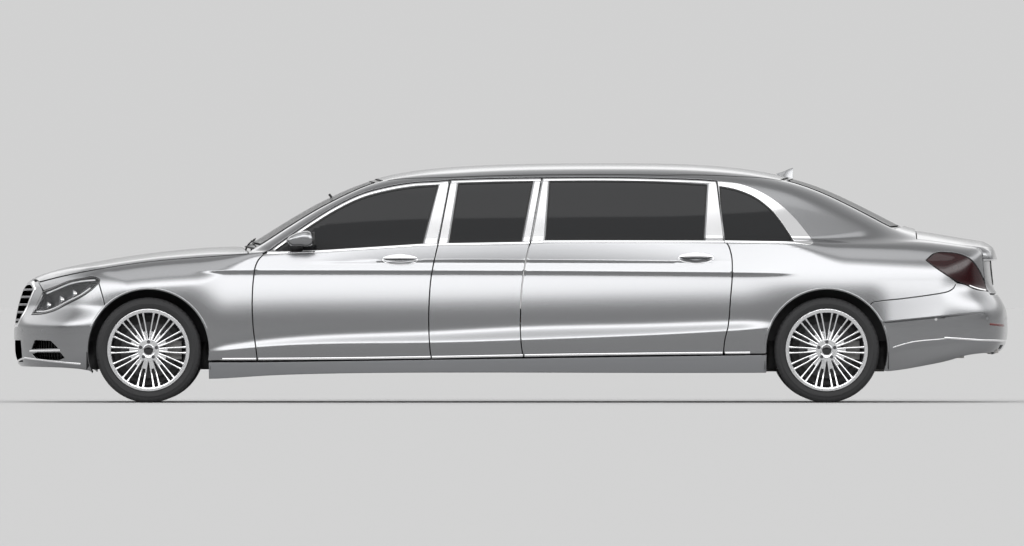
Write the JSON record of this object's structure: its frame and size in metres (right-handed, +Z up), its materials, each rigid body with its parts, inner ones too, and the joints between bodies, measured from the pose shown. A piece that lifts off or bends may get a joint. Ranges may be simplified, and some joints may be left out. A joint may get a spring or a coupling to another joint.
{
  "type": "stretch limousine",
  "caption": "Long-wheelbase stretched saloon with four opening doors, a fixed windowed middle section, bonnet, boot lid and steered front wheels.",
  "frame": {"origin": "centre of the bounding box projected onto the ground the tyres stand on", "axes": "+X towards the tail (the bonnet end is at -X), +Y towards the car's right-hand side, +Z up; the left side seen in the picture faces -Y"},
  "size_m": [6.5098, 2.128, 1.5646],
  "materials": {
    "body_paint": "gloss metallic silver",
    "sill_paint": "satin dark grey",
    "chrome_trim": "polished",
    "window_glass": "dark tint",
    "screen_glass": "light tint",
    "lamp_glass": "clear lens",
    "tail_lens": "red lens",
    "tyre_rubber": "matt black",
    "wheel_alloy": "satin",
    "trim_black": "fine grain",
    "chassis_steel": "satin black",
    "cast_metal": "rough",
    "engine_block": "satin",
    "steel_pipe": "brushed",
    "seat_leather": "fine grain",
    "carpet": "matt"
  },
  "bodies": {
    "body": {"roof": "body_paint", "windshield": "screen_glass", "rear_window": "screen_glass", "fixed_side_windows": "window_glass", "middle_side_panels": "body_paint", "sills": "sill_paint", "front_fenders": "body_paint", "headlights": "lamp_glass", "front_bumper": "body_paint", "grille": "chrome_trim", "rear_quarters": "body_paint", "taillights": "tail_lens", "rear_bumper": "body_paint", "floor_pan": "chassis_steel", "front_structure": "chassis_steel", "engine": "engine_block", "drive_shaft": "chassis_steel", "front_subframe": "chassis_steel", "rear_axle": "cast_metal", "exhaust_system": "steel_pipe", "dashboard": "trim_black", "front_seats": "seat_leather", "rear_seats": "seat_leather", "facing_seats": "seat_leather", "partition": "trim_black", "rear_bulkhead": "trim_black", "roof_antenna": "body_paint"},
    "bonnet": {"bonnet": "body_paint"},
    "boot_lid": {"boot_lid": "body_paint"},
    "front_door_left": {"front_door_left": "body_paint", "front_door_glass_left": "window_glass", "mirror_left": "body_paint"},
    "rear_door_left": {"rear_door_left": "body_paint", "rear_door_glass_left": "window_glass"},
    "knuckle_left": {"knuckle_left": "cast_metal"},
    "front_door_right": {"front_door_right": "body_paint", "front_door_glass_right": "window_glass", "mirror_right": "body_paint"},
    "rear_door_right": {"rear_door_right": "body_paint", "rear_door_glass_right": "window_glass"},
    "knuckle_right": {"knuckle_right": "cast_metal"},
    "wheel_front_left": {"rim_front_left": "wheel_alloy", "tyre_front_left": "tyre_rubber"},
    "wheel_front_right": {"rim_front_right": "wheel_alloy", "tyre_front_right": "tyre_rubber"},
    "wheel_rear_left": {"rim_rear_left": "wheel_alloy", "tyre_rear_left": "tyre_rubber"},
    "wheel_rear_right": {"rim_rear_right": "wheel_alloy", "tyre_rear_right": "tyre_rubber"},
    "steering_wheel": {"steering_wheel": "seat_leather"}
  },
  "joints": [
    {"name": "bonnet_hinge", "type": "hinge", "parent": "body", "child": "bonnet", "pos_m": [-1.695, 0, 0.972], "axis": [0, 1, 0], "range_deg": [0, 50]},
    {"name": "boot_hinge", "type": "hinge", "parent": "body", "child": "boot_lid", "pos_m": [2.65, 0, 1.124], "axis": [0, -1, 0], "range_deg": [0, 72]},
    {"name": "front_door_left_hinge", "type": "hinge", "parent": "body", "child": "front_door_left", "pos_m": [-1.625, -0.932, 0.65], "axis": [0, 0, -1], "range_deg": [0, 66]},
    {"name": "rear_door_left_hinge", "type": "hinge", "parent": "body", "child": "rear_door_left", "pos_m": [0.125, -0.932, 0.65], "axis": [0, 0, -1], "range_deg": [0, 68]},
    {"name": "front_door_right_hinge", "type": "hinge", "parent": "body", "child": "front_door_right", "pos_m": [-1.625, 0.932, 0.65], "axis": [0, 0, 1], "range_deg": [0, 66]},
    {"name": "rear_door_right_hinge", "type": "hinge", "parent": "body", "child": "rear_door_right", "pos_m": [0.125, 0.932, 0.65], "axis": [0, 0, 1], "range_deg": [0, 68]},
    {"name": "steer_left", "type": "hinge", "parent": "body", "child": "knuckle_left", "pos_m": [-2.359, -0.762, 0.343], "axis": [0, 0, 1], "range_deg": [-35, 35]},
    {"name": "steer_right", "type": "hinge", "parent": "body", "child": "knuckle_right", "pos_m": [-2.359, 0.762, 0.343], "axis": [0, 0, 1], "range_deg": [-35, 35]},
    {"name": "wheel_front_left_spin", "type": "hinge", "parent": "knuckle_left", "child": "wheel_front_left", "pos_m": [-2.359, -0.812, 0.343], "axis": [0, 1, 0], "continuous": true},
    {"name": "wheel_front_right_spin", "type": "hinge", "parent": "knuckle_right", "child": "wheel_front_right", "pos_m": [-2.359, 0.812, 0.343], "axis": [0, 1, 0], "continuous": true},
    {"name": "wheel_rear_left_spin", "type": "hinge", "parent": "body", "child": "wheel_rear_left", "pos_m": [2.059, -0.815, 0.343], "axis": [0, 1, 0], "continuous": true},
    {"name": "wheel_rear_right_spin", "type": "hinge", "parent": "body", "child": "wheel_rear_right", "pos_m": [2.059, 0.815, 0.343], "axis": [0, 1, 0], "continuous": true},
    {"name": "steering_wheel_turn", "type": "hinge", "parent": "body", "child": "steering_wheel", "pos_m": [-1.1641, -0.37, 0.89339], "axis": [0.9063, 0, 0.4227], "range_deg": [-525, 525]}
  ],
  "couplings": [
    {"joint": "steer_right", "follows": "steering_wheel_turn", "ratio": 0.0666},
    {"joint": "steer_left", "follows": "steering_wheel_turn", "ratio": 0.0666}
  ]
}
